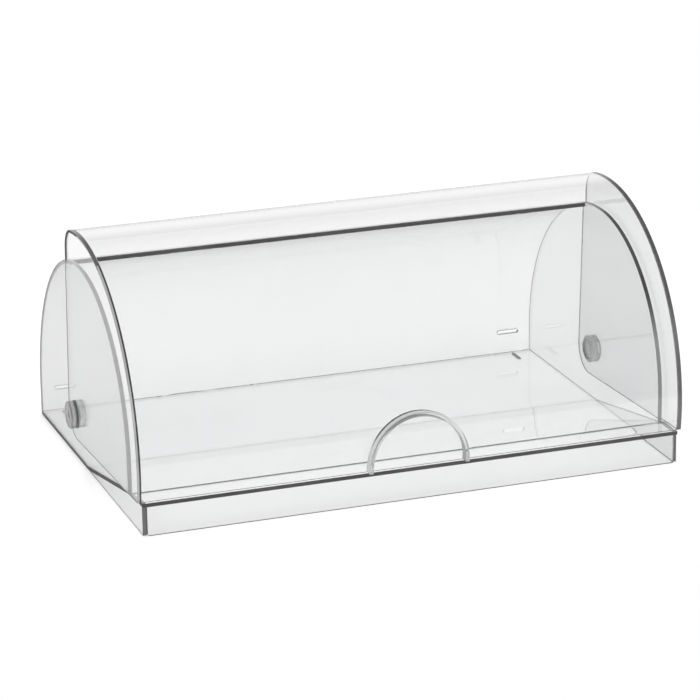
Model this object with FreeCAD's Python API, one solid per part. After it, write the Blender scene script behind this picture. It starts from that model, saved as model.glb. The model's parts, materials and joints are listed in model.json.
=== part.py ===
import FreeCAD, Part
import math
import os

# Clear countertop bread bin with a roll-back lid. Millimetres, +Z up, front towards -Y.
# The origin is the middle of the footprint on the counter.
# In the profiles below y runs back from the front face of the apron and z runs up from the counter.

# Body
width = 450.0            # over the outer faces of the two end panels
body_depth = 309.0       # front face of the apron to the outer face of the back wall
body_height = 172.5      # counter to the highest point of the end panels
front_setback = 32.0     # front face of the apron to the foremost point of the end panels
front_rise = 46.5        # counter to where the front edge of the end panels starts to curve back
back_rise = 26.5         # counter to where the back wall starts to roll forward
crown_y = 160.0          # where the end panels are highest
shell_edge_y = 184.0     # free front edge of the back shell
base_thickness = 3.0     # bent base sheet
panel_thickness = 3.5    # end panels, back shell and side aprons
shelf_height = 27.0      # counter to the top of the front shelf
shelf_depth = 26.5       # front edge of the shelf to the bend above the ramp
crease_y = 161.5         # where the ramp meets the flat floor
rear_round_share = 0.8   # radius of the lower back edge, share of the base sheet's thickness

# Apron
apron_thickness = 3.0
side_setback = 2.0       # side aprons stand this far behind the front face
side_lift = 0.3          # side aprons end this far above the counter
apron_corner_radius = 1.5

# Slots in the back wall and in the floor
wall_slot_length = 20.0
wall_slot_height = 3.2
wall_slot_z = 22.5
wall_slot_inset = 24.5   # outer face of the end panel to the middle of the slot
floor_slot_length = 17.0
floor_slot_width = 2.6
floor_slot_inset = 20.5  # outer face of the end panel to the middle of the slot
floor_slot_gap = 2.0     # back wall's inner face to the end of the slot

# Lid
lid_thickness = 3.2
lid_height = 201.0       # counter to the top of the closed lid
lid_arc_radius = 152.0   # outer face of the lid's front
lid_edge_y = 176.0       # where the lid's curved sheet ends at the top
lid_corner_radius = 20.0  # upper rear corner of the lid's end panels
lid_heel_radius = 22.0   # rounding of the lid's end panels round the pivot
side_clearance = 0.5     # between an end panel of the body and the one of the lid
rest_clearance = 0.4     # under the closed lid, above the shelf

# Pivots
pivot_y = 179.0
pivot_z = 42.5
plug_radius = 11.5
plug_stand_out = 6.4     # how far a plug stands out of the lid's end panel
plug_chamfer = 0.8
stub_radius = 8.3
stub_recess = 1.5        # from the inner face of the end panel to the end of the stub
bore_clearance = 0.08    # radial running clearance of the stub in its hole
plug_shoulder_gap = 0.4  # between a plug's shoulder and the body's end panel
dimple_radius = 5.0
dimple_depth = 1.2

# Grip
grip_radius = 42.0       # outer radius of the half-moon
grip_thickness = 3.5
grip_depth = 8.0        # how far the strip stands out of the lid's front
grip_leg = 4.0           # straight foot of the strip, below the half-circle
grip_foot_gap = 0.6      # lower edge of the lid to the foot of the strip

# Derived places
half_width = width / 2
inner_half_width = half_width - panel_thickness
lid_inner_half = half_width + side_clearance
lid_outer_half = lid_inner_half + lid_thickness
front_y = -(grip_depth + body_depth) / 2 + grip_depth
inner_back_y = body_depth - panel_thickness
lid_arc_y = lid_arc_radius
lid_arc_z = lid_height - lid_arc_radius
lid_bottom_z = shelf_height + rest_clearance
ramp_angle = math.atan2(shelf_height - base_thickness, crease_y - shelf_depth)
bend_shift = base_thickness * math.tan(ramp_angle / 2)
under_shelf_z = shelf_height - base_thickness
bore_radius = stub_radius + bore_clearance


def point(y, z, x=0.0):
    return FreeCAD.Vector(x, front_y + y, z)


def line(a, b):
    return Part.LineSegment(a, b).toShape()


def arc(centre_y, centre_z, radius, start, end):
    """Arc of a circle in the side view, from one angle to another, in radians from +Y towards +Z."""
    middle = (start + end) / 2
    three = [
        point(centre_y + radius * math.cos(a), centre_z + radius * math.sin(a))
        for a in (start, middle, end)
    ]
    return Part.Arc(*three).toShape()


def rise_and_roll(foot_y, foot_z, inset=0.0):
    """Edges from an upright foot over the widest round that fits to the level crown, or inside them."""
    side = math.copysign(1, foot_y - crown_y)
    radius = min(abs(foot_y - crown_y), body_height - foot_z)
    centre_y = foot_y - side * radius
    centre_z = body_height - radius
    start = math.pi * (1 - side) / 2
    inner = radius - inset
    foot = point(foot_y - side * inset, foot_z)
    upright_end = point(foot_y - side * inset, centre_z)
    level_start = point(centre_y, body_height - inset)
    crown = point(crown_y, body_height - inset)
    edges = [arc(centre_y, centre_z, inner, start, math.pi / 2)]
    if centre_z > foot_z:
        edges.insert(0, line(foot, upright_end))
    if centre_y != crown_y:
        edges.append(line(level_start, crown))
    return edges


def slab(edges, x_from, x_to):
    """Solid with this side view between two places along X."""
    face = Part.Face(Part.Wire(Part.sortEdges(edges)[0]))
    solid = face.extrude(FreeCAD.Vector(x_to - x_from, 0, 0))
    solid.translate(FreeCAD.Vector(x_from, 0, 0))
    return solid


def outline(points):
    """Closed run of straight edges through (y, z) points."""
    corners = [point(y, z) for y, z in points]
    return [line(a, b) for a, b in zip(corners, corners[1:] + corners[:1])]


def rod(radius, x_from, x_to, y, z):
    """Round bar along X."""
    return Part.makeCylinder(radius, x_to - x_from, point(y, z, x_from), FreeCAD.Vector(1, 0, 0))


def rounded_slot(length, breadth, depth):
    """Slot cutter lying along X, breadth along Y, depth along Z, centred on the origin."""
    radius = breadth / 2
    reach = length / 2 - radius
    start = FreeCAD.Vector(-reach, -radius, -depth / 2)
    body = Part.makeBox(reach * 2, breadth, depth, start)
    for side in (-1, 1):
        centre = FreeCAD.Vector(side * reach, 0, -depth / 2)
        body = body.fuse(Part.makeCylinder(radius, depth, centre))
    return body


def mirrored(shape):
    return shape.mirror(FreeCAD.Vector(0, 0, 0), FreeCAD.Vector(1, 0, 0))


def base_top_points():
    """Upper face of the base sheet, front to back."""
    return [
        (0.0, shelf_height),
        (shelf_depth, shelf_height),
        (crease_y, base_thickness),
        (body_depth, base_thickness),
    ]


def base_under_points():
    """Lower face of the base sheet, back to front."""
    return [
        (body_depth, 0.0),
        (crease_y - bend_shift, 0.0),
        (shelf_depth - bend_shift, under_shelf_z),
        (0.0, under_shelf_z),
    ]


def make_base_sheet():
    sheet = slab(outline(base_top_points() + base_under_points()), -half_width, half_width)
    back_y = front_y + body_depth
    low_back = [
        edge
        for edge in sheet.Edges
        if abs(edge.BoundBox.YMin - back_y) + abs(edge.BoundBox.ZMax) < base_thickness / 10
    ]
    sheet = sheet.makeFillet(base_thickness * rear_round_share, low_back)
    slot = rounded_slot(floor_slot_length, floor_slot_width, base_thickness * 3)
    slot.rotate(FreeCAD.Vector(0, 0, 0), FreeCAD.Vector(0, 0, 1), 90)
    slot_x = half_width - floor_slot_inset
    slot_y = inner_back_y - floor_slot_gap - floor_slot_length / 2
    slot.translate(point(slot_y, base_thickness / 2, slot_x))
    return sheet.cut(slot).cut(mirrored(slot))


def space_under_base():
    """Everything at and below the upper face of the base sheet."""
    low = -base_thickness
    points = base_top_points() + [(body_depth, low), (0.0, low)]
    return slab(outline(points), -width, width)


def make_end_panel():
    """The body's right end panel, a D that stands on the base sheet."""
    edges = [
        line(point(front_setback, 0.0), point(front_setback, front_rise)),
        *rise_and_roll(front_setback, front_rise),
        *rise_and_roll(body_depth, back_rise),
        line(point(body_depth, back_rise), point(body_depth, 0.0)),
        line(point(body_depth, 0.0), point(front_setback, 0.0)),
    ]
    panel = slab(edges, inner_half_width, half_width).cut(space_under_base())
    return panel.cut(rod(bore_radius, -width, width, pivot_y, pivot_z))


def make_back_shell():
    """Sheet that follows the rear edge of the end panels from the floor to the free edge."""
    edges = [
        line(point(inner_back_y, base_thickness), point(body_depth, base_thickness)),
        line(point(body_depth, base_thickness), point(body_depth, back_rise)),
        *rise_and_roll(body_depth, back_rise),
        line(point(crown_y, body_height), point(crown_y, body_height - panel_thickness)),
        *rise_and_roll(body_depth, back_rise, panel_thickness),
        line(point(inner_back_y, back_rise), point(inner_back_y, base_thickness)),
    ]
    sheet = slab(edges, -inner_half_width, inner_half_width)
    span = inner_half_width * 2
    start = point(shell_edge_y, 0.0, -inner_half_width)
    shell = sheet.common(Part.makeBox(span, body_depth, body_height, start))
    slot = rounded_slot(wall_slot_length, wall_slot_height, panel_thickness * 3)
    slot.rotate(FreeCAD.Vector(0, 0, 0), FreeCAD.Vector(1, 0, 0), 90)
    slot.translate(point(body_depth - panel_thickness / 2, wall_slot_z, half_width - wall_slot_inset))
    return shell.cut(slot).cut(mirrored(slot))


def make_apron_front():
    span = inner_half_width
    panel = Part.makeBox(span * 2, apron_thickness, under_shelf_z, point(0.0, 0.0, -span))
    low_ends = [
        edge
        for edge in panel.Edges
        if edge.BoundBox.ZMax < apron_corner_radius and edge.BoundBox.XLength < apron_corner_radius
    ]
    return panel.makeFillet(apron_corner_radius, low_ends)


def make_apron_side():
    ramp_foot = crease_y - bend_shift - side_lift / math.tan(ramp_angle)
    points = [
        (side_setback, side_lift),
        (ramp_foot, side_lift),
        (shelf_depth - bend_shift, under_shelf_z),
        (side_setback, under_shelf_z),
    ]
    return slab(outline(points), inner_half_width, half_width)


def lid_front_angle(radius):
    """Angle at which a circle about the lid's arc centre meets the lid's lower edge."""
    return math.pi - math.asin((lid_bottom_z - lid_arc_z) / radius)


def lid_edge_angle():
    return math.acos((lid_edge_y - lid_arc_y) / lid_arc_radius)


def make_lid_front():
    inner_radius = lid_arc_radius - lid_thickness
    outer_start = lid_front_angle(lid_arc_radius)
    inner_start = lid_front_angle(inner_radius)
    end = lid_edge_angle()

    def on(radius, angle):
        return point(lid_arc_y + radius * math.cos(angle), lid_arc_z + radius * math.sin(angle))

    edges = [
        arc(lid_arc_y, lid_arc_z, lid_arc_radius, outer_start, end),
        line(on(lid_arc_radius, end), on(inner_radius, end)),
        arc(lid_arc_y, lid_arc_z, inner_radius, end, inner_start),
        line(on(inner_radius, inner_start), on(lid_arc_radius, outer_start)),
    ]
    return slab(edges, -lid_inner_half, lid_inner_half)


def make_lid_end():
    """The lid's right end panel: front arc, rounded top corner, straight back, round heel."""
    start = lid_front_angle(lid_arc_radius)
    end = lid_edge_angle()
    reach = lid_arc_radius - lid_corner_radius
    corner_y = lid_arc_y + reach * math.cos(end)
    corner_z = lid_arc_z + reach * math.sin(end)
    toe_y = lid_arc_y + lid_arc_radius * math.cos(start)
    # the straight back edge is the outer tangent of the corner's and the heel's circles
    run_y = corner_y - pivot_y
    run_z = corner_z - pivot_z
    back = math.atan2(run_z, run_y) - math.acos(
        (lid_heel_radius - lid_corner_radius) / math.hypot(run_y, run_z)
    )
    # the lower edge is the tangent from the toe to the heel's circle
    toe_run_y = toe_y - pivot_y
    toe_run_z = lid_bottom_z - pivot_z
    toe_reach = math.hypot(toe_run_y, toe_run_z)
    below = math.atan2(toe_run_z, toe_run_y) + math.acos(lid_heel_radius / toe_reach)

    def on(centre_y, centre_z, radius, angle):
        return point(centre_y + radius * math.cos(angle), centre_z + radius * math.sin(angle))

    if below > 0:
        below -= 2 * math.pi
    heel_back = on(pivot_y, pivot_z, lid_heel_radius, back)
    heel_below = on(pivot_y, pivot_z, lid_heel_radius, below)
    edges = [
        arc(lid_arc_y, lid_arc_z, lid_arc_radius, start, end),
        arc(corner_y, corner_z, lid_corner_radius, end, back),
        line(on(corner_y, corner_z, lid_corner_radius, back), heel_back),
        arc(pivot_y, pivot_z, lid_heel_radius, back, below),
        line(heel_below, point(toe_y, lid_bottom_z)),
    ]
    panel = slab(edges, lid_inner_half, lid_outer_half)
    return panel.cut(rod(plug_radius, -width, width, pivot_y, pivot_z))


def make_grip():
    """Half-moon strip on edge, between the lid's outer face and a coaxial face in front of it."""
    foot_z = lid_bottom_z + grip_foot_gap
    centre_z = foot_z + grip_leg
    inner_radius = grip_radius - grip_thickness

    def arch(radius):
        def at(x, z):
            return FreeCAD.Vector(x, 0, z)

        top = Part.Arc(at(-radius, centre_z), at(0, centre_z + radius), at(radius, centre_z))
        sides = [
            top.toShape(),
            line(at(radius, centre_z), at(radius, foot_z)),
            line(at(radius, foot_z), at(-radius, foot_z)),
            line(at(-radius, foot_z), at(-radius, centre_z)),
        ]
        reach = lid_arc_radius + grip_depth
        face = Part.Face(Part.Wire(sides))
        face.translate(point(0.0, 0.0) - FreeCAD.Vector(0, reach, 0))
        return face.extrude(FreeCAD.Vector(0, reach + lid_arc_y, 0))

    ring = arch(grip_radius).cut(arch(inner_radius))
    outer = rod(lid_arc_radius + grip_depth, -grip_radius, grip_radius, lid_arc_y, lid_arc_z)
    inner = rod(lid_arc_radius, -grip_radius * 2, grip_radius * 2, lid_arc_y, lid_arc_z)
    return ring.common(outer).cut(inner)


def make_pivot_plug():
    """The right plug: broad boss through the lid's end panel, narrower stub in the body's hole."""
    outer_x = lid_outer_half + plug_stand_out
    shoulder_x = half_width + plug_shoulder_gap
    boss = rod(plug_radius, shoulder_x, outer_x, pivot_y, pivot_z)
    rim = [edge for edge in boss.Edges if edge.BoundBox.XMin > outer_x - plug_chamfer]
    boss = boss.makeChamfer(plug_chamfer, rim)
    stub = rod(stub_radius, inner_half_width + stub_recess, shoulder_x, pivot_y, pivot_z)
    dimple = rod(dimple_radius, outer_x - dimple_depth, outer_x + dimple_depth, pivot_y, pivot_z)
    return boss.fuse(stub).cut(dimple).removeSplitter()


def main():
    os.makedirs("parts", exist_ok=True)
    end_panel = make_end_panel()
    apron_side = make_apron_side()
    lid_end = make_lid_end()
    plug = make_pivot_plug()
    nodes = {
        "base_sheet": make_base_sheet(),
        "end_panel_right": end_panel,
        "end_panel_left": mirrored(end_panel),
        "back_shell": make_back_shell(),
        "apron_front": make_apron_front(),
        "apron_side_right": apron_side,
        "apron_side_left": mirrored(apron_side),
        "lid_front": make_lid_front(),
        "lid_end_right": lid_end,
        "lid_end_left": mirrored(lid_end),
        "grip": make_grip(),
        "pivot_plug_right": plug,
        "pivot_plug_left": mirrored(plug),
    }
    for name, shape in nodes.items():
        solids = shape.Solids
        if len(solids) != 1 or not solids[0].isValid():
            raise ValueError(name + " is not one sound solid")
        solids[0].exportStep("parts/" + name + ".step")
        box = solids[0].BoundBox
        print(name, round(solids[0].Volume / 1000, 2), "cm3", [round(v, 2) for v in (
            box.XMin, box.XMax, box.YMin, box.YMax, box.ZMin, box.ZMax)])


main()
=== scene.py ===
"""Clear countertop bread bin with a roll-back lid: fine forms, finishes, studio light and camera."""

import json
import math

import bmesh
import bpy
from mathutils import Matrix, Vector

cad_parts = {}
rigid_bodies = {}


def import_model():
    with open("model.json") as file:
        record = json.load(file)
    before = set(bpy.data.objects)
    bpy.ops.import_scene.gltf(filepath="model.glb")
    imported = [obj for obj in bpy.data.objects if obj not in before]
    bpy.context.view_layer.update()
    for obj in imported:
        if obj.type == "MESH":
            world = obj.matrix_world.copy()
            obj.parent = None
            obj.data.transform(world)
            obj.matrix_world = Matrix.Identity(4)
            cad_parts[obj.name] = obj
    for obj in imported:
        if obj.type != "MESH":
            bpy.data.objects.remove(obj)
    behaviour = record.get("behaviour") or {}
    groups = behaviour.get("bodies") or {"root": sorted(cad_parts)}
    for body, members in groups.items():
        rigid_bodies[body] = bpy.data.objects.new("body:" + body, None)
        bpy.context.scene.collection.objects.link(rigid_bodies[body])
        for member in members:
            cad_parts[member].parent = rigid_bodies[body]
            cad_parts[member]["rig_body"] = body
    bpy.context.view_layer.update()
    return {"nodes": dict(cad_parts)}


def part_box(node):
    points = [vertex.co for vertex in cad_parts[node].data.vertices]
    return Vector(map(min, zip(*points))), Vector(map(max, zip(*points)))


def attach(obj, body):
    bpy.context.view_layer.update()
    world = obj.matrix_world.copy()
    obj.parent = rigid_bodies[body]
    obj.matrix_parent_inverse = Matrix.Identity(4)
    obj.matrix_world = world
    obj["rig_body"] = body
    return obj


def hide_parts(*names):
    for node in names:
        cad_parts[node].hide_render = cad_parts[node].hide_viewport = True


bl_info = {
    "name": "Clear Bread Bin",
    "version": (1, 0, 0),
    "blender": (4, 5, 0),
    "location": "3D View > Sidebar > Bread Bin",
    "description": "Dresses the packed clear bread bin with polished plastic and sets up its studio",
    "category": "Object",
}

for leftover in list(bpy.data.objects):
    bpy.data.objects.remove(leftover)
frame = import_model()
SIDES = ("left", "right")
WHITE = (1.0, 1.0, 1.0, 1.0)

# Turns between neighbouring faces
SHARP_TURN = math.radians(50.0)
CREASE_TURN = math.radians(2.0)
FACET_TURN = math.radians(12.0)
SMOOTH_TURN = math.radians(40.0)
MERGE_TURN = math.radians(0.3)

# Points this near each other are one, and a flat has this share of a broad face's width at least
MERGE_REACH = 0.000002
FLAT_SHARE = 0.4

# Parts of a face's unit normal that tell where it looks
SQUARE_ON = 0.7
EDGE_ON = 0.3
ROUNDED = 0.2
SLOT_WALL = 0.5
ACROSS = 0.01
FLOOR_LEVEL = 0.99995
RAMP_LEVEL = 0.9855
FREE_EDGE = 0.9
LID_END_FACE = 0.95
RIM_FRONT = -0.35
RIM_FOOT = -0.5
GRIP_FACE = 0.85
GRIP_ROUND = 0.25

# Distances that pick the faces of an edge
EDGE_REACH = 0.001
SLOT_INSET = 0.002
FREE_EDGE_REACH = 0.004
FOOT_REACH = 0.0001
GRIP_SIDE = 0.01

# Shares of a sheet's thickness, of a plug's radius and of its groove's width
FOOT_SHARE = 0.2
PLUG_RIM = 0.97
GROOVE_SHARE = 0.6

# Where one painted shade gives way to another, along one axis or away from the lid's face
HIGH_UP = (0.1, 0.15)
HALF_WAY_UP = (0.08, 0.13)
RAMP_END = (0.004, 0.012)
LID_LINE = (-0.2271, -0.2266)
BODY_TOP = (0.166, 0.172)
SEAM_REACH = (0.0025, 0.004)
SEAM_HEIGHT = (0.045, 0.06)

# Surface of the plastic: hairline scratches, shares of dullness, heights of the relief and shades
NOISE_MIDDLE = 0.5
HAIRLINES = (
    {"pitch": 0.016, "run": 0.12, "turn": (0.4, 0.9, 0.3), "share": 0.006},
    {"pitch": 0.023, "run": 0.09, "turn": (1.3, 0.2, 1.1), "share": 0.005},
)
SMUDGE_DULLS = 0.6
SCRATCH_DULLS = 0.5
SPECK_DULLS = 0.4
DULL_ROUGHNESS = 0.05
DULL_SHADE = 0.955
WAVE_HEIGHT = 0.00002
SCRATCH_DEPTH = 0.05
MARK_HEIGHT = 0.00003
PATCH_PALE = 0.25
MARK_PALE = 0.1
PALEST = 0.12
SMOOTHEST_MARK = 0.6
MARK_ROUGHNESS = 0.8

# Studio: room by direction, floor, lamps (place, side, share of the power), camera and bounces of light
BACKDROP_START = (-0.15, 0.35)
CEILING_START = (0.25, 0.55)
FLOOR_MOTTLE = 0.97
LAMPS = {
    "soft_lamp_left": ((-1.6, -1.4, 2.0), 1.6, 1.0),
    "soft_lamp_right": ((1.9, -0.7, 1.7), 1.4, 0.6),
    "soft_lamp_back": ((0.2, 1.9, 2.1), 1.8, 0.6),
}
LAMP_AIM = (0.0, 0.0, 0.08)
SENSOR_WIDTH = 36.0
VIEW_DEPTH = 50.0
ALL_BOUNCES = 24
CLEAR_BOUNCES = 16


class Wire:
    """One output socket. Python's operators on it add Math nodes to its tree."""

    def __init__(self, tree, socket):
        self.tree = tree
        self.socket = socket

    def _math(self, operation, *values, **settings):
        settings["operation"] = operation
        return self.tree.node("ShaderNodeMath", settings, dict(enumerate(values)))

    def __add__(self, other):
        return self._math("ADD", self, other)

    def __radd__(self, other):
        return self._math("ADD", other, self)

    def __sub__(self, other):
        return self._math("SUBTRACT", self, other)

    def __rsub__(self, other):
        return self._math("SUBTRACT", other, self)

    def __mul__(self, other):
        return self._math("MULTIPLY", self, other)

    def __rmul__(self, other):
        return self._math("MULTIPLY", other, self)

    def __truediv__(self, other):
        return self._math("DIVIDE", self, other)

    def __rtruediv__(self, other):
        return self._math("DIVIDE", other, self)

    def __pow__(self, other):
        return self._math("POWER", self, other)

    def __abs__(self):
        return self._math("ABSOLUTE", self)

    def __lt__(self, other):
        return self._math("LESS_THAN", self, other)

    def __gt__(self, other):
        return self._math("GREATER_THAN", self, other)

    def at_least(self, other):
        return self._math("MAXIMUM", self, other)

    def at_most(self, other):
        return self._math("MINIMUM", self, other)

    def root(self):
        return self._math("SQRT", self)

    def sine(self):
        return self._math("SINE", self)

    def cosine(self):
        return self._math("COSINE", self)

    def ramp(self, low, high):
        """0 at low, 1 at high, smooth between them."""
        sockets = {"Value": self, "From Min": low, "From Max": high}
        settings = {"interpolation_type": "SMOOTHSTEP"}
        return self.tree.node("ShaderNodeMapRange", settings, sockets)


class Tree:
    """A node tree that one method adds any node to."""

    def __init__(self, tree):
        self.tree = tree

    def node(self, kind, settings=None, sockets=None, output=0):
        made = self.tree.nodes.new(kind)
        for key, value in (settings or {}).items():
            setattr(made, key, value)
        for key, value in (sockets or {}).items():
            socket = self.find(made.inputs, key)
            if isinstance(value, Wire):
                self.tree.links.new(value.socket, socket)
            else:
                socket.default_value = value
        return None if output is None else Wire(self, self.find(made.outputs, output))

    @staticmethod
    def find(sockets, key):
        if isinstance(key, int):
            return sockets[key]
        for socket in sockets:
            if socket.identifier == key:
                return socket
        for socket in sockets:
            if socket.name == key and socket.enabled:
                return socket
        raise KeyError(f"no socket {key!r} among {[s.identifier for s in sockets]}")

    def mix_colours(self, factor, first, second):
        sockets = {"Factor_Float": factor, "A_Color": first, "B_Color": second}
        return self.node("ShaderNodeMix", {"data_type": "RGBA"}, sockets, "Result_Color")

    def noise(self, place, scale, detail=2.0, roughness=0.5):
        sockets = {"Vector": place, "Scale": scale, "Detail": detail, "Roughness": roughness}
        return self.node("ShaderNodeTexNoise", {}, sockets, "Fac")

    def stretch(self, place, scale, turn=(0.0, 0.0, 0.0)):
        sockets = {"Vector": place, "Scale": scale, "Rotation": turn}
        return self.node("ShaderNodeMapping", {}, sockets)

    def apart(self, place):
        """X, Y and Z of a vector."""
        x = self.node("ShaderNodeSeparateXYZ", {}, {"Vector": place}, "X")
        outputs = x.socket.node.outputs
        return x, Wire(self, outputs["Y"]), Wire(self, outputs["Z"])

    def bump(self, height, distance):
        sockets = {"Height": height, "Distance": distance, "Strength": 1.0}
        return self.node("ShaderNodeBump", {}, sockets)


def length_prop(name, description, default):
    return bpy.props.FloatProperty(name=name, description=description, default=default, unit="LENGTH")


def factor_prop(name, description, default):
    return bpy.props.FloatProperty(
        name=name, description=description, default=default, subtype="FACTOR"
    )


def level_prop(name, description, default):
    return bpy.props.FloatProperty(name=name, description=description, default=default)


def angle_prop(name, description, degrees):
    return bpy.props.FloatProperty(
        name=name, description=description, default=math.radians(degrees), subtype="ANGLE"
    )


class BinSizes(bpy.types.PropertyGroup):
    """Sizes that the finished pieces are made from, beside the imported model."""

    edge_round: length_prop("Edge Round", "Radius on the edges of the sheets", 0.0004)
    bend_round: length_prop(
        "Bend Round", "How far the bends of the base sheet spread on each side of their crease", 0.0018
    )
    broad_face: length_prop(
        "Broad Face", "Flats broader than this meet in a crease, and narrower ones make a curve", 0.02
    )
    bond_gap: length_prop(
        "Bond Gap", "How far each sheet's skin stands back from its neighbour", 0.00002
    )
    lid_radius: length_prop("Lid Radius", "Outer radius of the lid's curved sheet", 0.152)
    lid_thickness: length_prop("Lid Thickness", "Thickness of the lid's curved sheet", 0.0032)
    # Widths of the painted dark shade lines on the left lid end.
    rear_line: length_prop(
        "Rear Line", "Width of the dark line over the top of the left lid end", 0.002
    )
    rear_rim: length_prop(
        "Rear Rim", "Width of the dark line along the rear edge of the left lid end", 0.0055
    )
    corner_round: length_prop("Corner Round", "Radius of the upper rear corner of a lid end", 0.02)
    heel_round: length_prop("Heel Round", "Radius of a lid end's edge round its pivot", 0.022)
    lid_steps: bpy.props.IntProperty(
        name="Lid Steps",
        description="Divisions along the lid's curve",
        default=120,
    )
    grip_depth: length_prop("Grip Depth", "How far the half-moon strip stands out of the lid", 0.008)
    grip_steps: bpy.props.IntProperty(
        name="Grip Steps",
        description="Divisions along the half-moon strip",
        default=96,
    )
    grip_thickness: length_prop("Grip Thickness", "Thickness of the half-moon strip", 0.0035)
    grip_round: length_prop("Grip Round", "Radius on the edges of the half-moon strip", 0.0007)
    plug_round: length_prop("Plug Round", "Radius on the rims of the pivot plugs", 0.00025)
    plug_turns: bpy.props.IntProperty(
        name="Plug Turns",
        description="Divisions round a pivot plug",
        default=72,
    )
    plug_lip: length_prop("Plug Lip", "Outer face of a pivot plug to its groove", 0.0031)
    plug_groove: length_prop("Plug Groove", "Width of the groove round a pivot plug", 0.001)
    plug_chamfer: length_prop("Plug Chamfer", "Chamfer round the outer face of a pivot plug", 0.0008)
    stub_radius: length_prop(
        "Stub Radius", "Radius of the part that turns in the body's end panel", 0.0083
    )
    stub_length: length_prop(
        "Stub Length", "Length of the part that turns in the body's end panel", 0.0024
    )
    dimple_radius: length_prop("Dimple Radius", "Radius of the dimple in a plug's outer face", 0.005)
    dimple_depth: length_prop("Dimple Depth", "Depth of the dimple in a plug's outer face", 0.0012)


def grey(level):
    """Neutral colour with the faint cool cast of the plastic."""
    return (level, min(1.0, level * 1.002), min(1.0, level * 1.004), 1.0)


def tint(name, description, shade):
    return bpy.props.FloatVectorProperty(
        name=name,
        description=description,
        subtype="COLOR",
        size=4,
        min=0.0,
        max=1.0,
        default=shade,
    )


class BinFinishes(bpy.types.PropertyGroup):
    """Colours and surface of the clear plastic, with the shade painted into each piece and edge."""

    # Each piece and each side of the one clear plastic has its own grey. Over the plastic's faint grey
    # of its own, these greys are painted shade for how the light fell on each piece. The bends' grey is
    # painted shade along the creases.
    base_tint: tint("Base Tint", "What the base sheet lets through", grey(0.995))
    wall_tint: tint("Wall Tint", "What the back shell lets through", grey(0.915))
    end_left_tint: tint("Left End Tint", "What the left end panel lets through", grey(0.845))
    end_right_tint: tint("Right End Tint", "What the right end panel lets through", grey(0.905))
    apron_tint: tint("Apron Tint", "What the front apron lets through", grey(0.825))
    apron_side_tint: tint("Side Apron Tint", "What a side apron lets through", grey(0.88))
    lid_tint: tint("Lid Tint", "What the lid's curved sheet lets through", grey(0.94))
    lid_left_tint: tint("Left Lid End Tint", "What the lid's left end lets through", grey(0.985))
    lid_right_tint: tint("Right Lid End Tint", "What the lid's right end lets through", grey(0.9))
    grip_tint: tint("Grip Tint", "What the half-moon strip lets through", grey(0.9))
    plug_tint: tint("Plug Tint", "What the face of a pivot plug lets through", grey(0.78))
    plug_side_tint: tint("Plug Side Tint", "What the rim of a pivot plug lets through", grey(0.62))
    bend_tint: tint("Bend Tint", "What the bends of the base sheet let through", grey(0.86))
    # The edge greys are painted. The dark ones are painted shade where an edge of the clear sheet looks
    # dark, and the pale one is painted light on the rims that face the light.
    black_edge: tint("Black Edge", "Sawn edges that take no light", grey(0.05))
    dark_edge: tint("Dark Edge", "Sawn edges of the lid's left end and of the floor", grey(0.09))
    deep_edge: tint("Deep Edge", "Polished edges of the aprons and the lid's right rim", grey(0.2))
    grey_edge: tint("Grey Edge", "Polished edges of back shell, slots and right end panel", grey(0.4))
    mid_edge: tint("Mid Edge", "Polished edges of the left end panel", grey(0.15))
    pale_edge: tint("Pale Edge", "Polished rims that face the light", grey(0.75))
    bending: level_prop("Refraction", "Index of refraction of the clear plastic", 1.49)
    gloss_roughness: factor_prop(
        "Gloss Roughness", "Roughness of the polished faces where they are clean", 0.004
    )
    edge_clear: factor_prop("Edge Clearness", "How much of a cut edge lets light through", 0.25)
    edge_roughness: factor_prop("Edge Roughness", "Roughness of the cut edges", 0.12)
    sawn_roughness: factor_prop("Sawn Roughness", "Roughness of the edges that were left as sawn", 0.6)


class BinStudio(bpy.types.PropertyGroup):
    """Floor, light and camera."""

    floor_shade: tint("Floor Shade", "Colour of the floor", (0.8, 0.8, 0.8, 1.0))
    floor_lift: level_prop(
        "Floor Lift", "Light added where the camera looks at the floor, so it shows white", 0.3
    )
    table_side: length_prop("Table Side", "Side of the pale table that the bin stands on", 1.1)
    table_front: length_prop(
        "Table Front", "From the middle of the bin to the front edge of the table", 0.36
    )
    room_light: level_prop("Room Light", "Level of the plain studio round the object", 0.6)
    mirrored_wall: level_prop(
        "Mirrored Wall", "Level of the backdrop behind the bin, as the plastic mirrors it", 0.95
    )
    dark_room: level_prop("Dark Room", "Level of the room in front, as the plastic mirrors it", 0.12)
    ceiling_light: level_prop("Ceiling Light", "Level of the ceiling, as the plastic mirrors it", 0.25)
    lamp_power: bpy.props.FloatProperty(
        name="Lamp Power",
        description="Power of the main soft lamp",
        default=26.0,
        unit="POWER",
    )
    camera_azimuth: angle_prop(
        "Camera Azimuth", "Turn of the view round the object, from straight in front", -19.308
    )
    camera_elevation: angle_prop("Camera Elevation", "Height of the view above the level", 18.249)
    camera_roll: angle_prop("Camera Roll", "Tilt of the view about its own line", -0.8417)
    camera_place: bpy.props.FloatVectorProperty(
        name="Camera Place",
        description="Where the camera stands",
        default=(-0.88328, -2.51586, 0.957),
        subtype="TRANSLATION",
        unit="LENGTH",
    )
    lens: bpy.props.FloatProperty(
        name="Lens",
        description="Focal length on a sensor 36 mm wide",
        default=175.57,
        unit="CAMERA",
    )


def new_material(name):
    material = bpy.data.materials.new(name)
    material.use_nodes = True
    material.node_tree.nodes.clear()
    return material, Tree(material.node_tree)


def close_material(tree, surface):
    tree.node("ShaderNodeOutputMaterial", {"is_active_output": True}, {"Surface": surface}, None)


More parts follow.
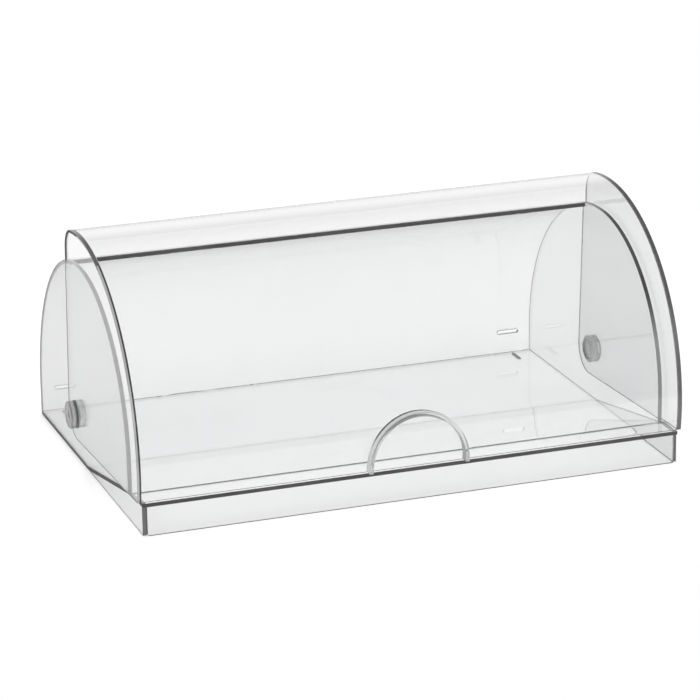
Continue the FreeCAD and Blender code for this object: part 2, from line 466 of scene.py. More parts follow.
def close_plastic(tree, finishes, colour, roughness, normal, shade, clear=1.0):
    """Clear plastic that bends light for the eye and lets the lamps through to the floor."""
    plastic = tree.node(
        "ShaderNodeBsdfPrincipled",
        {},
        {
            "Base Color": colour,
            "Roughness": roughness,
            "IOR": finishes.bending,
            "Transmission Weight": clear,
            "Normal": normal,
        },
    )
    passed = tuple(math.sqrt(channel) for channel in shade[:3]) + (1.0,)
    window = tree.node("ShaderNodeBsdfTransparent", {}, {"Color": passed})
    path = tree.node("ShaderNodeLightPath", {}, {}, "Is Shadow Ray")
    lit = path.at_least(Wire(tree, path.socket.node.outputs["Is Diffuse Ray"]))
    close_material(tree, tree.node("ShaderNodeMixShader", {}, {0: lit, 1: plastic, 2: window}))


def deeper(shade, share):
    return tuple(channel * share for channel in shade[:3]) + (1.0,)


def hairlines(tree, place, pitch, run, turn, share):
    """Thin lines about a pitch apart that wander along the first axis after a turn."""
    along = tree.stretch(place, (1.0 / run, 1.0 / pitch, 1.0 / pitch), turn)
    field = tree.noise(along, 1.0, 0.0)
    return 1.0 - abs(field - NOISE_MIDDLE).ramp(0.0, share)


def clear_face(name, shade, finishes, border=None):
    """Polished clear plastic with faint waves, wiped smudges, hairline scratches and a painted dark
    shade along an edge.
    """
    material, tree = new_material(name)
    place = tree.node("ShaderNodeTexCoord", {}, {}, "Object")
    waves = tree.noise(place, scale=14.0, detail=1.0)
    cloud = tree.noise(place, scale=9.0, detail=4.0, roughness=0.6).ramp(low=0.5, high=0.72)
    wiping = tree.stretch(place, scale=(40.0, 260.0, 260.0), turn=(0.5, 0.3, 0.9))
    smudge = cloud * tree.noise(wiping, scale=1.0, detail=3.0)
    along, crossing = (hairlines(tree, place, **lines) for lines in HAIRLINES)
    scratches = along.at_least(crossing)
    specks = tree.noise(place, scale=900.0, detail=0.0).ramp(low=0.79, high=0.84)
    dull = (smudge * SMUDGE_DULLS + scratches * SCRATCH_DULLS + specks * SPECK_DULLS).at_most(1.0)
    colour = tree.mix_colours(dull, tuple(shade), deeper(shade, DULL_SHADE))
    roughness = dull * DULL_ROUGHNESS + finishes.gloss_roughness
    # Painted dark shade along an edge of the face, where border gives 1.
    if border:
        share = border(*tree.apart(place))
        colour = tree.mix_colours(share, colour, tuple(finishes.black_edge))
        roughness = roughness + share * finishes.sawn_roughness
    height = waves - scratches * SCRATCH_DEPTH
    close_plastic(tree, finishes, colour, roughness, tree.bump(height, WAVE_HEIGHT), shade)
    return material


def cut_edge(name, finishes, shade, far=None, share=None, clear=None, rough=None):
    """Cut edge of a sheet: frosted a little, with cutter marks, in a painted shade that gives way to
    far's painted shade where share is 1.
    """
    material, tree = new_material(name)
    place = tree.node("ShaderNodeTexCoord", {}, {}, "Object")
    body = tuple(shade)
    if far:
        body = tree.mix_colours(share(*tree.apart(place)), body, tuple(far))
    marks = tree.noise(tree.stretch(place, scale=(900.0, 900.0, 120.0)), scale=1.0, detail=2.0)
    patches = tree.noise(place, scale=22.0, detail=3.0, roughness=0.6).ramp(low=0.3, high=0.7)
    pale = tree.mix_colours(PALEST, body, WHITE)
    colour = tree.mix_colours(patches * PATCH_PALE + marks * MARK_PALE, body, pale)
    roughness = (rough or finishes.edge_roughness) * (SMOOTHEST_MARK + marks * MARK_ROUGHNESS)
    open_share = finishes.edge_clear if clear is None else clear
    normal = tree.bump(marks, MARK_HEIGHT)
    close_plastic(tree, finishes, colour, roughness, normal, shade, open_share)
    return material


def high_up(x, y, z):
    """1 on the upper part of the rims, where their painted shade turns darker."""
    return z.ramp(*HIGH_UP)


def half_way_up(x, y, z):
    """1 from about half the height of an end panel, where the right rim's painted shade turns black."""
    return z.ramp(*HALF_WAY_UP)


def behind_ramp(x, y, z):
    """1 where the base sheet lies flat on the counter, where the painted shade of the side edges and
    panel feet changes.
    """
    return y.ramp(*RAMP_END)


def inner_line(x, y, z):
    """1 on the inner part of the left lid end's rim, which takes a painted dark shade line."""
    return x.ramp(*LID_LINE)


def off_lid(y, z):
    """Distance out from the lid's curved outer face."""
    sizes = bpy.context.scene.bin_sizes
    axis_y, axis_z = lid_axis(sizes)
    return ((y - axis_y) ** 2.0 + (z - axis_z) ** 2.0).root() - sizes.lid_radius


def rear_border(x, y, z):
    """1 along the straight rear edge of a lid end above the body, round its corner and over the top: a
    painted dark shade line on the left lid end's faces.
    """
    sizes = bpy.context.scene.bin_sizes
    low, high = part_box("lid_front")
    pivot = sum(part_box("pivot_plug_left"), Vector()) / 2
    axis_y, axis_z = lid_axis(sizes)
    top = math.acos((high.y - axis_y) / sizes.lid_radius)
    corner_y = axis_y + (sizes.lid_radius - sizes.corner_round) * math.cos(top)
    corner_z = axis_z + (sizes.lid_radius - sizes.corner_round) * math.sin(top)
    run = Vector((corner_y - pivot.y, corner_z - pivot.z))
    back = math.atan2(run.y, run.x) - math.acos((sizes.heel_round - sizes.corner_round) / run.length)
    out = (y - pivot.y) * math.cos(back) + (z - pivot.z) * math.sin(back)
    straight = (out > sizes.heel_round - sizes.rear_rim) * z.ramp(*BODY_TOP)
    across = (y - corner_y) / (sizes.corner_round - sizes.rear_rim)
    up = (z - corner_z) / (sizes.corner_round - sizes.rear_line)
    bent = (across ** 2.0 + up ** 2.0 > 1.0) * (y > corner_y) * (z > corner_z)
    over = (off_lid(y, z) > -sizes.rear_line) * (y > axis_y + sizes.rear_line)
    return over.at_least(straight).at_least(bent)


def grip_seam(x, y, z):
    """1 on the upper part of the half-moon strip near its seam with the lid, where it takes a painted
    dark shade.
    """
    return (1.0 - off_lid(y, z).ramp(*SEAM_REACH)) * z.ramp(*SEAM_HEIGHT)


def finish(name):
    """The named finish, made on first use."""
    found = bpy.data.materials.get(name)
    if found:
        return found
    look = bpy.context.scene.bin_finishes
    # The face greys differ per piece and per side: painted shade over the plastic's own faint grey.
    faces = {
        "base_face": look.base_tint,
        "wall_face": look.wall_tint,
        "end_left_face": look.end_left_tint,
        "end_right_face": look.end_right_tint,
        "apron_face": look.apron_tint,
        "apron_side_face": look.apron_side_tint,
        "lid_face": look.lid_tint,
        "lid_left_face": look.lid_left_tint,
        "lid_right_face": look.lid_right_tint,
        "grip_face": look.grip_tint,
        "plug_face": look.plug_tint,
        "plug_side": look.plug_side_tint,
        "bend": look.bend_tint,
    }
    if name in faces:
        return clear_face(name, faces[name], look, rear_border if name == "lid_left_face" else None)
    # Edge finishes are painted shade: dark where an edge of the clear sheet looks dark and pale on the
    # rims that face the light, some turning darker higher up or behind the ramp.
    sawn = {"clear": 0.05, "rough": look.sawn_roughness}
    edges = {
        "black_edge": (look.black_edge, {"clear": 0.05}),
        "dark_edge": (look.dark_edge, {"clear": 0.05}),
        "deep_edge": (look.deep_edge, {"far": look.dark_edge, "share": high_up}),
        "grey_edge": (look.grey_edge, {}),
        "mid_edge": (look.mid_edge, {}),
        "fading_edge": (look.grey_edge, {"far": look.black_edge, "share": half_way_up, "clear": 0.1}),
        "base_side": (look.black_edge, {"far": look.dark_edge, "share": behind_ramp, **sawn}),
        "base_rim": (look.pale_edge, {"far": look.black_edge, "share": behind_ramp, "clear": 0.15}),
        "lid_rim": (look.pale_edge, {"far": look.black_edge, "share": inner_line, "clear": 0.5}),
        "pale_edge": (look.pale_edge, {"clear": 0.8}),
        "grip_bow": (look.pale_edge, {"far": look.black_edge, "share": grip_seam, "clear": 0.5}),
        "plug_stub": (look.grey_edge, {}),
    }
    shade, manner = edges[name]
    return cut_edge(name, look, shade, **manner)


def add_object(name, data):
    made = bpy.data.objects.new(name, data)
    bpy.context.scene.collection.objects.link(made)
    return made


def merged_copy(node, name, bonded):
    """The node's mesh with its triangles joined into whole faces."""
    mesh = frame["nodes"][node].data.copy()
    mesh.name = name
    mesh.materials.clear()
    shape = bmesh.new()
    shape.from_mesh(mesh)
    bmesh.ops.remove_doubles(shape, verts=shape.verts, dist=MERGE_REACH)
    bmesh.ops.dissolve_limit(shape, angle_limit=MERGE_TURN, verts=shape.verts, edges=shape.edges)
    bmesh.ops.recalc_face_normals(shape, faces=shape.faces)
    mark_corners(shape, bonded)
    shape.to_mesh(mesh)
    shape.free()
    return mesh


def breadth(face):
    """About the width of a long face."""
    return 2 * face.calc_area() / face.calc_perimeter()


def mark_corners(shape, bonded):
    """Bevel weights: full at a crease between broad flats, less at a sharp edge that isn't bonded."""
    sizes = bpy.context.scene.bin_sizes
    weights = shape.edges.layers.float.new("bevel_weight_edge")
    for edge in shape.edges:
        turn = edge.calc_face_angle(0.0)
        broad = min(breadth(face) for face in edge.link_faces) > sizes.broad_face
        if turn > SHARP_TURN and bonded([face.normal for face in edge.link_faces]):
            continue
        if turn > SHARP_TURN:
            edge[weights] = sizes.edge_round / sizes.bend_round
        elif broad and turn > CREASE_TURN:
            edge[weights] = 1.0


def settle(made):
    """Applies the modifiers of an object to a plain mesh."""
    graph = bpy.context.evaluated_depsgraph_get()
    graph.update()
    solid = bpy.data.meshes.new_from_object(made.evaluated_get(graph))
    made.modifiers.clear()
    old = made.data
    made.data = solid
    if old.users == 0:
        bpy.data.meshes.remove(old)
    return made


def rule_object(name, rule, inputs):
    """Object whose mesh a Geometry Nodes tree makes from named inputs."""
    kinds = {"int": "NodeSocketInt", "float": "NodeSocketFloat", "Material": "NodeSocketMaterial"}
    group = bpy.data.node_groups.new(name + "_rule", "GeometryNodeTree")
    group.interface.new_socket(name="Shape", in_out="OUTPUT", socket_type="NodeSocketGeometry")
    sockets = {}
    for label, value in inputs.items():
        kind = kinds[type(value).__name__]
        sockets[label] = group.interface.new_socket(name=label, in_out="INPUT", socket_type=kind)
    tree = Tree(group)
    entry = group.nodes.new("NodeGroupInput")
    wires = {label: Wire(tree, tree.find(entry.outputs, label)) for label in inputs}
    shape = tree.node("GeometryNodeRealizeInstances", {}, {"Geometry": rule(tree, wires)})
    painted = {"Geometry": shape, "Material": wires["Finish"]}
    shape = tree.node("GeometryNodeSetMaterial", {}, painted)
    tree.node("NodeGroupOutput", {}, {"Shape": shape}, None)
    made = add_object(name, bpy.data.meshes.new(name))
    modifier = made.modifiers.new(name + "_rule", "NODES")
    modifier.node_group = group
    for label, value in inputs.items():
        modifier[sockets[label].identifier] = value
    return made


def swept(tree, path, across, deep):
    """Solid bar of a rectangular section along a path in the XY plane, deep along Z."""
    upright = tree.node("GeometryNodeSetCurveNormal", {"mode": "Z_UP"}, {"Curve": path})
    sides = {"Width": across, "Height": deep}
    section = tree.node("GeometryNodeCurvePrimitiveQuadrilateral", {"mode": "RECTANGLE"}, sides)
    sockets = {"Curve": upright, "Profile Curve": section, "Fill Caps": True}
    return tree.node("GeometryNodeCurveToMesh", {}, sockets)


def places(tree):
    """X, Y and Z of the points that a Geometry Nodes tree works on."""
    return tree.apart(tree.node("GeometryNodeInputPosition"))


def moved(tree, shape, x, y, z, chosen=True):
    goal = tree.node("ShaderNodeCombineXYZ", {}, {"X": x, "Y": y, "Z": z})
    sockets = {"Geometry": shape, "Selection": chosen, "Position": goal}
    return tree.node("GeometryNodeSetPosition", {}, sockets)


def bent_sheet(tree, size):
    """Sheet bent round the lid's axis, cut level at its foot."""
    sockets = {
        "Resolution": size["Steps"],
        "Radius": size["Middle Radius"],
        "Start Angle": size["Start"],
        "Sweep Angle": size["Sweep"],
    }
    path = tree.node("GeometryNodeCurveArc", {"mode": "RADIUS"}, sockets)
    sheet = swept(tree, path, size["Thickness"], size["Width"])
    x, y, z = places(tree)
    sheet = moved(tree, sheet, z, x + size["Axis Y"], y + size["Axis Z"])
    x, y, z = places(tree)
    at_foot = z < size["Foot"] + size["Thickness"] * FOOT_SHARE
    return moved(tree, sheet, x, y, size["Foot"], at_foot)


def half_moon(tree, size):
    """Strip along two legs and a half-circle, bent to the lid's curve at its back and at its front."""
    count = {"Count": size["Steps"]}
    unit = {"Start": (0.0, 0.0, 0.0), "End": (1.0, 0.0, 0.0)}
    line = tree.node("GeometryNodeCurvePrimitiveLine", {"mode": "POINTS"}, unit)
    path = tree.node("GeometryNodeResampleCurve", {"mode": "COUNT"}, {"Curve": line, **count})
    share = places(tree)[0]
    leg_turn = size["Leg"] / size["Bow"]
    turn = share * (leg_turn * 2.0 + math.pi) - leg_turn
    on_bow = turn.at_least(0.0).at_most(math.pi)
    on_leg = turn.at_most(0.0) + (math.pi - turn).at_most(0.0)
    across = on_bow.cosine() * size["Bow"] * -1.0
    height = size["Centre"] + (on_bow.sine() + on_leg) * size["Bow"]
    path = moved(tree, path, across, height, 0.0)
    strip = swept(tree, path, size["Thickness"], size["Depth"])
    x, y, z = places(tree)
    radius = size["Lid Radius"] + size["Depth"] * 0.5 + z
    rise = y - size["Axis Z"]
    reach = (radius * radius - rise * rise).root()
    return moved(tree, strip, x, size["Axis Y"] - reach, y)


def lid_axis(sizes):
    """Y and Z of the axis that the lid's sheet is bent round."""
    low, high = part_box("lid_front")
    return low.y + sizes.lid_radius, high.z - sizes.lid_radius


def close_skin(made):
    """Merges doubles and turns the faces of a solid outwards."""
    shape = bmesh.new()
    shape.from_mesh(made.data)
    bmesh.ops.remove_doubles(shape, verts=shape.verts, dist=MERGE_REACH)
    bmesh.ops.recalc_face_normals(shape, faces=shape.faces)
    shape.to_mesh(made.data)
    shape.free()
    return made


def round_edges(made, radius=None, steps=2):
    """Bevels the marked corners, or with a radius every edge that is sharper than a curve's facets."""
    bevel = made.modifiers.new("edge_round", "BEVEL")
    bevel.width = radius or bpy.context.scene.bin_sizes.bend_round
    bevel.segments = steps
    bevel.limit_method = "ANGLE" if radius else "WEIGHT"
    bevel.angle_limit = SHARP_TURN
    bevel.miter_outer = "MITER_ARC"
    bevel.use_clamp_overlap = False


def is_flat(face, broad):
    """True for a flat of the sheet, and False for a facet of a curve or a strip of a rounded edge."""
    width = breadth(face)
    if width > broad:
        return True
    turns = [edge.calc_face_angle(0.0) for edge in face.edges if len(edge.link_faces) == 2]
    return width > broad * FLAT_SHARE and min(turns) > FACET_TURN


def true_normals(mesh):
    """Flats keep their own direction to the last corner, and curves are shaded smoothly up to them."""
    broad = bpy.context.scene.bin_sizes.broad_face
    shape = bmesh.new()
    shape.from_mesh(mesh)
    shape.faces.ensure_lookup_table()
    flats = {face.index: face.calc_area() for face in shape.faces if is_flat(face, broad)}
    normals = []
    for face in shape.faces:
        for loop in face.loops:
            normals.append(corner_normal(loop, flats))
    shape.free()
    mesh.normals_split_custom_set(normals)


def corner_normal(loop, flats):
    own = loop.face
    if own.index in flats:
        return own.normal.copy()
    smooth = [near for near in loop.vert.link_faces if near.normal.angle(own.normal) < SMOOTH_TURN]
    guides = [near for near in smooth if near.index in flats]
    if guides:
        return max(guides, key=lambda near: flats[near.index]).normal.copy()
    total = Vector()
    for near in smooth:
        total += near.normal * near.calc_area()
    return total.normalized()


def stand_back(made, gap):
    """Moves a solid's skin inwards a little, so that bonded sheets don't share a surface."""
    mesh = made.data
    shape = bmesh.new()
    shape.from_mesh(mesh)
    shape.normal_update()
    moves = [vertex.normal * gap for vertex in shape.verts]
    for vertex, move in zip(shape.verts, moves):
        vertex.co -= move
    shape.to_mesh(mesh)
    shape.free()


def shade_smooth(mesh):
    mesh.polygons.foreach_set("use_smooth", [True] * len(mesh.polygons))


def paint(mesh, choose):
    """Gives every face the finish that choose names from its direction and place."""
    names = [choose(face.normal, face.center) for face in mesh.polygons]
    order = sorted(set(names))
    mesh.materials.clear()
    for name in order:
        mesh.materials.append(finish(name))
    for face, name in zip(mesh.polygons, names):
        face.material_index = order.index(name)


def dress(node, choose, bonded):
    """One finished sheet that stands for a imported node."""
    made = add_object(node + "_clear", merged_copy(node, node + "_clear", bonded))
    round_edges(made)
    seat(settle(made), node, choose)


def seat(made, node, choose):
    """A finished piece is painted, takes its node's place and rides with it."""
    shade_smooth(made.data)
    paint(made.data, choose)
    stand_back(made, bpy.context.scene.bin_sizes.bond_gap)
    true_normals(made.data)
    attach(made, frame["nodes"][node]["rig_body"])
    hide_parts(node)


def pivot_hole_test():
    """Test for the faces in the holes round the pivots."""
    sizes = bpy.context.scene.bin_sizes
    low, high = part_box("pivot_plug_left")
    y, z = (low.y + high.y) / 2, (low.z + high.z) / 2
    reach = (high.z - low.z) / 2 + sizes.plug_groove
    return lambda centre: math.hypot(centre.y - y, centre.z - z) < reach


def faces_side(normals):
    return any(abs(normal.x) > SQUARE_ON for normal in normals)


def faces_up(normals):
    return any(normal.z > SQUARE_ON for normal in normals)


def faces_down(normals):
    return any(normal.z < -SQUARE_ON for normal in normals)


def faces_up_and_side(normals):
    return faces_up(normals) and faces_side(normals)


def faces_up_or_side(normals):
    return faces_up(normals) or faces_side(normals)


def unbonded(normals):
    return False


class BREADBIN_OT_base_sheet(bpy.types.Operator):
    """Bent base sheet with its shelf, ramp and floor"""

    bl_idname = "breadbin.base_sheet"
    bl_label = "Base Sheet"

    def execute(self, context):
        low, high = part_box("base_sheet")

        def choose(normal, centre):
            on_floor = 0 < centre.y < high.y - EDGE_REACH and abs(centre.x) < high.x - SLOT_INSET
            # Every edge takes a painted shade: grey slot walls and rear edge, black front edge and
            # underside rounds, the right side pale at the ramp and black behind it, the left side black
            # and then dark grey.
            if on_floor and abs(normal.z) < EDGE_ON:
                return "grey_edge"
            if abs(normal.x) > SQUARE_ON:
                return "base_rim" if normal.x > 0 else "base_side"
            if normal.y < -SQUARE_ON and centre.y < low.y + EDGE_REACH:
                return "black_edge"
            if normal.y > SQUARE_ON and centre.y > high.y - EDGE_REACH:
                return "grey_edge"
            if normal.x > ROUNDED and normal.z < -ROUNDED:
                return "black_edge"
            # The bends take a darker grey: painted shade along the creases.
            in_bend = RAMP_LEVEL < abs(normal.z) < FLOOR_LEVEL and abs(normal.x) < ACROSS
            return "bend" if in_bend else "base_face"

        dress("base_sheet", choose, faces_up_and_side)
        return {"FINISHED"}


class BREADBIN_OT_end_panels(bpy.types.Operator):
    """Two end panels of the body with the holes for the pivots"""

    bl_idname = "breadbin.end_panels"
    bl_label = "End Panels"

    def execute(self, context):
        in_pivot_hole = pivot_hole_test()
        # Left and right panels are copies with their own painted shades: the left rim dark grey, the
        # right rim grey turning black higher up, and the feet painted black or pale by the ramp.
        finishes = (
            ("end_left_face", "mid_edge", "base_side"),
            ("end_right_face", "fading_edge", "base_rim"),
        )
        for side, (face, rim, foot) in zip(SIDES, finishes):

            def choose(normal, centre):
                if abs(normal.x) > SQUARE_ON:
                    return face
                if in_pivot_hole(centre):
                    return "pale_edge"
                return foot if normal.z < -SQUARE_ON else rim

            dress("end_panel_" + side, choose, faces_down)
        return {"FINISHED"}


class BREADBIN_OT_back_shell(bpy.types.Operator):
    """Back wall that rolls forward over the bread, with its slots"""

    bl_idname = "breadbin.back_shell"
    bl_label = "Back Shell"

    def execute(self, context):
        low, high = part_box("back_shell")

        def choose(normal, centre):
            # The free edge takes a painted black shade, and the foot, slot walls and ends a painted
            # grey.
            if normal.y < -SQUARE_ON and centre.y < low.y + EDGE_REACH:
                return "black_edge"
            foot = centre.z < low.z + EDGE_REACH and normal.z < -SQUARE_ON
            slot = abs(normal.y) < SLOT_WALL and centre.z < (low.z + high.z) / 2
            return "grey_edge" if foot or slot or abs(normal.x) > SQUARE_ON else "wall_face"

        dress("back_shell", choose, faces_side)
        return {"FINISHED"}


class BREADBIN_OT_aprons(bpy.types.Operator):
    """Front apron and the two side aprons under the ramp"""

    bl_idname = "breadbin.aprons"
    bl_label = "Aprons"

    def execute(self, context):
        # Bottom edges take a painted black shade, and the other edges a painted dark grey that turns
        # darker higher up.
        def across_y(normal, centre):
            if abs(normal.y) > SQUARE_ON:
                return "apron_face"
            return "black_edge" if normal.z < -EDGE_ON else "deep_edge"

        def across_x(normal, centre):
            if abs(normal.x) > SQUARE_ON:
                return "apron_side_face"
            return "black_edge" if normal.z < -SQUARE_ON else "deep_edge"

        dress("apron_front", across_y, faces_up_or_side)
        for side in SIDES:
            dress("apron_side_" + side, across_x, faces_up)
        return {"FINISHED"}


class BREADBIN_OT_lid_front(bpy.types.Operator):
    """Curved sheet of the lid, bent round one axis by a Geometry Nodes tree"""

    bl_idname = "breadbin.lid_front"
    bl_label = "Lid Front"

    def execute(self, context):
        sizes = context.scene.bin_sizes
        low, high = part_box("lid_front")
        axis_y, axis_z = lid_axis(sizes)
        foot = math.pi + math.asin((axis_z - low.z) / sizes.lid_radius)
        top = math.acos((high.y - axis_y) / sizes.lid_radius)
        made = rule_object(
            "lid_front_clear",
            bent_sheet,
            {
                "Steps": sizes.lid_steps,
                "Middle Radius": sizes.lid_radius - sizes.lid_thickness / 2,
                "Thickness": sizes.lid_thickness,
                "Width": high.x - low.x,
                "Start": top,
                "Sweep": foot - top,
                "Axis Y": axis_y,
                "Axis Z": axis_z,
                "Foot": low.z,
                "Finish": finish("lid_face"),
            },
        )

        def choose(normal, centre):
            # The side edges take a painted black shade, and the free edge and foot a pale painted shade
            # that lets most light through.
            if abs(normal.x) > SQUARE_ON:
                return "black_edge"
            free = centre.y > high.y - FREE_EDGE_REACH and normal.y > FREE_EDGE
            foot = centre.z < low.z + FOOT_REACH and normal.z < -SQUARE_ON
            return "pale_edge" if free or foot else "lid_face"

        round_edges(made, sizes.edge_round)
        seat(close_skin(settle(made)), "lid_front", choose)
        return {"FINISHED"}


class BREADBIN_OT_lid_ends(bpy.types.Operator):
    """Two end panels of the lid"""

    bl_idname = "breadbin.lid_ends"
    bl_label = "Lid Ends"

    def execute(self, context):
        in_pivot_hole = pivot_hole_test()
        # Left and right lid ends are copies with their own painted shades: the left rim pale with a
        # painted dark inner line and a dark top, the right rim darker higher up.
        finishes = (
            ("lid_left_face", "lid_rim", "dark_edge"),
            ("lid_right_face", "deep_edge", "deep_edge"),
        )
        for side, (face, rim, top) in zip(SIDES, finishes):

            def choose(normal, centre):
                if abs(normal.x) > LID_END_FACE:
                    return face
                if in_pivot_hole(centre):
                    return "pale_edge"
                return top if normal.y > RIM_FRONT and normal.z > RIM_FOOT else rim

            dress("lid_end_" + side, choose, unbonded)
        return {"FINISHED"}


class BREADBIN_OT_grip(bpy.types.Operator):
    """Half-moon strip that stands out of the lid's front, made by a Geometry Nodes tree"""

    bl_idname = "breadbin.grip"
    bl_label = "Grip"

    def execute(self, context):
        sizes = context.scene.bin_sizes
        low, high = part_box("grip")
        axis_y, axis_z = lid_axis(sizes)
        bow = high.x - sizes.grip_thickness / 2
        made = rule_object(
            "grip_clear",
            half_moon,
            {
                "Steps": sizes.grip_steps,
                "Bow": bow,
                "Leg": high.z - high.x - low.z,
                "Centre": high.z - high.x,
                "Thickness": sizes.grip_thickness,
                "Depth": sizes.grip_depth,
                "Lid Radius": sizes.lid_radius,
                "Axis Y": axis_y,
                "Axis Z": axis_z,
                "Finish": finish("grip_face"),
            },
        )

        def choose(normal, centre):
            outside = normal.x * centre.x + normal.z * (centre.z - high.z + high.x) > 0
            if abs(normal.y) > GRIP_FACE:
                return "grip_face"
            # The bow's outside is pale, with a painted dark shade high up near its seam with the lid.
            # Its inner side takes a painted grey on the right and pale on the left.
            if outside:
                return "grip_bow"
            return "grey_edge" if abs(normal.y) > GRIP_ROUND or centre.x > GRIP_SIDE else "pale_edge"

        round_edges(made, sizes.grip_round, 3)
        seat(close_skin(settle(made)), "grip", choose)
        return {"FINISHED"}


class BREADBIN_OT_pivot_plugs(bpy.types.Operator):
    """Two pivot plugs that the lid turns on"""

    bl_idname = "breadbin.pivot_plugs"
    bl_label = "Pivot Plugs"

    def execute(self, context):
        sizes = context.scene.bin_sizes
        for side in SIDES:
            node = "pivot_plug_" + side
            low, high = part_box(node)
            radius = (high.z - low.z) / 2
            middle = (low + high) / 2
            start, step = (low.x, 1.0) if middle.x > 0 else (high.x, -1.0)
            profile = plug_profile(sizes, radius, high.x - low.x)

            def choose(normal, centre):
                reach = math.hypot(centre.y - middle.y, centre.z - middle.z)
                # The plug's outer face and rim take darker greys than the rest and its stub end a grey:
                # painted shade on the clear plastic.
                if abs(normal.x) > SQUARE_ON:
                    return "plug_face" if normal.x * step > 0 else "plug_stub"
                return "plug_side" if reach > radius * PLUG_RIM else "pale_edge"

            mesh = bpy.data.meshes.new(node + "_clear")
            made = add_object(node + "_clear", lathe(mesh, profile, start, step, middle))
            round_edges(close_skin(made), sizes.plug_round, 2)
            seat(settle(made), node, choose)
        return {"FINISHED"}


def plug_profile(sizes, radius, length):
    """Distance from the stub's end and radius, from the axis at the stub to the axis at the dimple."""
    groove_end = length - sizes.plug_lip
    groove_start = groove_end - sizes.plug_groove
    floor = radius - sizes.plug_groove * GROOVE_SHARE
    face = length - sizes.dimple_depth
    return [
        (0.0, 0.0),
        (0.0, sizes.stub_radius),
        (sizes.stub_length, sizes.stub_radius),
        (sizes.stub_length, radius),
        (groove_start, radius),
        (groove_start, floor),
        (groove_end, floor),
        (groove_end, radius),
        (length - sizes.plug_chamfer, radius),
        (length, radius - sizes.plug_chamfer),
        (length, sizes.dimple_radius),
        (face, sizes.dimple_radius),
        (face, 0.0),
    ]


def lathe(mesh, profile, start, step, middle):
    """Turned solid about a line along X, from rings that close in a point at both ends."""
    turns = bpy.context.scene.bin_sizes.plug_turns
    shape = bmesh.new()
    rings = []
    for along, radius in profile:
        x = start + step * along
        count = turns if radius > 0 else 1
        ring = []
        for index in range(count):
            angle = 2 * math.pi * index / count
            place = (x, middle.y + radius * math.cos(angle), middle.z + radius * math.sin(angle))
            ring.append(shape.verts.new(place))
        rings.append(ring)
    for first, second in zip(rings, rings[1:]):
        for index in range(turns):
            after = (index + 1) % turns
            corners = [
                first[index % len(first)],
                first[after % len(first)],
                second[after % len(second)],
                second[index % len(second)],
            ]
            shape.faces.new(list(dict.fromkeys(corners)))
    shape.to_mesh(mesh)
    shape.free()
    return mesh


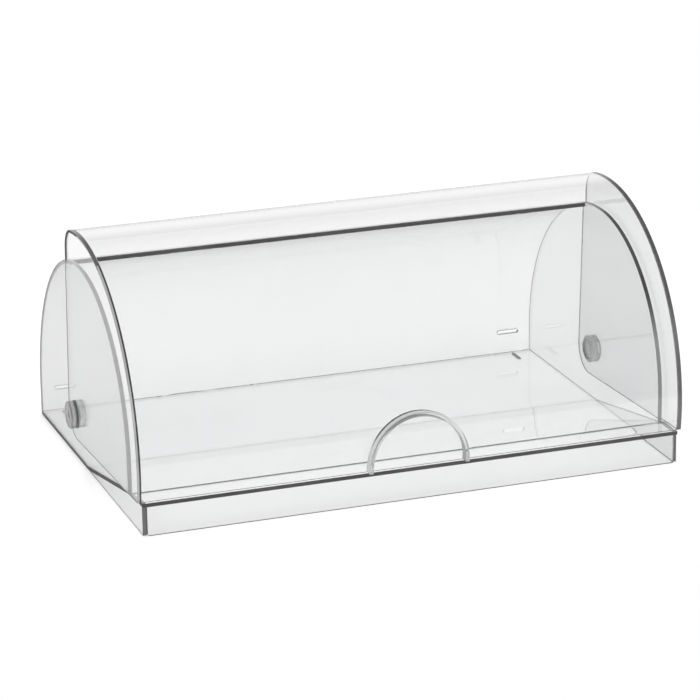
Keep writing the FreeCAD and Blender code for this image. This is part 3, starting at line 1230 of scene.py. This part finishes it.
class BREADBIN_OT_stage(bpy.types.Operator):
    """Pale floor, soft lamps, plain surroundings and the camera"""

    bl_idname = "breadbin.stage"
    bl_label = "Stage"

    def execute(self, context):
        studio = context.scene.bin_studio
        self.lay_floor(studio)
        self.set_surroundings(context, studio)
        self.hang_lamps(studio)
        self.place_camera(context, studio)
        context.scene.view_settings.view_transform = "Standard"
        context.scene.cycles.max_bounces = ALL_BOUNCES
        context.scene.cycles.glossy_bounces = CLEAR_BOUNCES
        context.scene.cycles.transmission_bounces = CLEAR_BOUNCES
        return {"FINISHED"}

    @staticmethod
    def lay_floor(studio):
        half = studio.table_side / 2
        mesh = bpy.data.meshes.new("floor")
        front = -studio.table_front
        back = front + studio.table_side
        corners = [(-half, front, 0), (half, front, 0), (half, back, 0), (-half, back, 0)]
        mesh.from_pydata(corners, [], [(0, 1, 2, 3)])
        material, tree = new_material("floor_paint")
        sight = seen_directly(tree)
        place = tree.node("ShaderNodeTexCoord", {}, {}, "Object")
        mottle = tree.noise(place, scale=3.0, detail=2.0)
        deep = deeper(studio.floor_shade, FLOOR_MOTTLE)
        paint = tree.mix_colours(mottle, tuple(studio.floor_shade), deep)
        matt = tree.node("ShaderNodeBsdfDiffuse", {}, {"Color": paint})
        lift = sight * studio.floor_lift
        glow = tree.node("ShaderNodeEmission", {}, {"Strength": lift})
        close_material(tree, tree.node("ShaderNodeAddShader", {}, {0: matt, 1: glow}))
        mesh.materials.append(material)
        add_object("floor", mesh)

    @staticmethod
    def set_surroundings(context, studio):
        world = bpy.data.worlds.new("studio_room")
        world.use_nodes = True
        world.node_tree.nodes.clear()
        context.scene.world = world
        tree = Tree(world.node_tree)
        path = tree.node("ShaderNodeLightPath", {}, {}, "Is Diffuse Ray")
        toward, height = tree.apart(tree.node("ShaderNodeTexCoord", {}, {}, "Generated"))[1:]
        backdrop = toward.ramp(*BACKDROP_START)
        level_room = backdrop * studio.mirrored_wall + (1.0 - backdrop) * studio.dark_room
        above = height.ramp(*CEILING_START)
        mirrored = level_room * (1.0 - above) + above * studio.ceiling_light
        sight = seen_directly(tree)
        indirect = path * studio.room_light + (1.0 - path) * mirrored
        level = sight + (1.0 - sight) * indirect
        glow = tree.node("ShaderNodeBackground", {}, {"Color": WHITE, "Strength": level})
        tree.node("ShaderNodeOutputWorld", {"is_active_output": True}, {"Surface": glow}, None)

    @staticmethod
    def hang_lamps(studio):
        for name, (place, side, share) in LAMPS.items():
            lamp = bpy.data.lights.new(name, "AREA")
            lamp.shape = "SQUARE"
            lamp.size = side
            lamp.energy = studio.lamp_power * share
            made = add_object(name, lamp)
            made.visible_glossy = False
            made.visible_transmission = False
            made.location = place
            ahead = Vector(LAMP_AIM) - Vector(place)
            made.rotation_euler = ahead.to_track_quat("-Z", "Y").to_euler()

    @staticmethod
    def place_camera(context, studio):
        turn, rise, roll = studio.camera_azimuth, studio.camera_elevation, studio.camera_roll
        level_ahead = Vector((-math.sin(turn), math.cos(turn), 0.0)) * math.cos(rise)
        ahead = level_ahead - Vector((0.0, 0.0, math.sin(rise)))
        level_right = ahead.cross(Vector((0.0, 0.0, 1.0))).normalized()
        level_up = level_right.cross(ahead)
        right = math.cos(roll) * level_right + math.sin(roll) * level_up
        up = math.cos(roll) * level_up - math.sin(roll) * level_right
        lens = bpy.data.cameras.new("photo_camera")
        lens.sensor_width = SENSOR_WIDTH
        lens.lens = studio.lens
        lens.clip_end = VIEW_DEPTH
        made = add_object("photo_camera", lens)
        basis = Matrix((right, up, -ahead)).transposed()
        made.matrix_world = Matrix.Translation(studio.camera_place) @ basis.to_4x4()
        context.scene.camera = made


def seen_directly(tree):
    """1 for what the camera sees, straight or through clear plastic, and 0 once a ray is mirrored."""
    path = tree.node("ShaderNodeLightPath", {}, {}, "Is Camera Ray")
    outputs = path.socket.node.outputs
    through = Wire(tree, outputs["Is Transmission Ray"])
    turned = Wire(tree, outputs["Glossy Depth"]) + Wire(tree, outputs["Diffuse Depth"])
    return path.at_least(through) * (1.0 - turned.at_most(1.0))


class BREADBIN_PT_tools(bpy.types.Panel):
    """Pieces of the bread bin and their settings"""

    bl_idname = "BREADBIN_PT_tools"
    bl_label = "Bread Bin"
    bl_space_type = "VIEW_3D"
    bl_region_type = "UI"
    bl_category = "Bread Bin"

    def draw(self, context):
        for operator in OPERATORS:
            self.layout.operator(operator.bl_idname)


OPERATORS = (
    BREADBIN_OT_base_sheet,
    BREADBIN_OT_end_panels,
    BREADBIN_OT_back_shell,
    BREADBIN_OT_aprons,
    BREADBIN_OT_lid_front,
    BREADBIN_OT_lid_ends,
    BREADBIN_OT_grip,
    BREADBIN_OT_pivot_plugs,
    BREADBIN_OT_stage,
)
SETTINGS = {"bin_sizes": BinSizes, "bin_finishes": BinFinishes, "bin_studio": BinStudio}
CLASSES = tuple(SETTINGS.values()) + OPERATORS + (BREADBIN_PT_tools,)


def register():
    for cls in CLASSES:
        bpy.utils.register_class(cls)
    for name, cls in SETTINGS.items():
        setattr(bpy.types.Scene, name, bpy.props.PointerProperty(type=cls))


def unregister():
    for name in SETTINGS:
        delattr(bpy.types.Scene, name)
    for cls in reversed(CLASSES):
        bpy.utils.unregister_class(cls)


def main():
    register()
    for operator in OPERATORS:
        group, name = operator.bl_idname.split(".")
        getattr(getattr(bpy.ops, group), name)()


if __name__ == "__main__":
    main()
